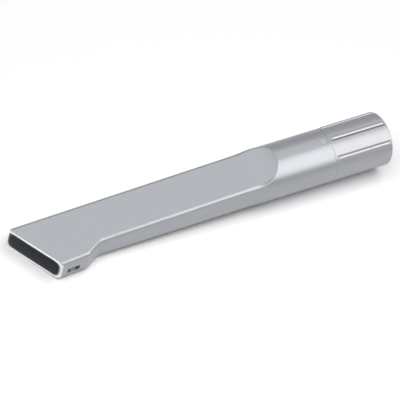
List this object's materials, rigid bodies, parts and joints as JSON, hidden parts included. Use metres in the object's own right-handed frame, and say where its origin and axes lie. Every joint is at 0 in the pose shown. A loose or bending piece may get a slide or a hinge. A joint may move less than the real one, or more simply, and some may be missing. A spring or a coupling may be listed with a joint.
{
  "type": "crevice nozzle",
  "caption": "Crevice nozzle for a commercial vacuum cleaner: a round wand socket with grip ribs runs into a long flat blade with a flared head and a slanted mouth.",
  "frame": {"origin": "centre of the connector's open end face, on the tube's axis", "axes": "+X along the tube's axis, out of the socket; the blade runs to -X; +Z square to the blade's upper wide face; the flared side of the head is -Y"},
  "size_m": [0.298, 0.0454, 0.041],
  "materials": {
    "shell": "fine satin moulded texture",
    "connector": "fine satin moulded texture",
    "liner": "matt, moulded"
  },
  "bodies": {
    "root": {"nozzle_body": "shell", "connector": "connector", "mouth_liner": "liner"}
  },
  "joints": []
}
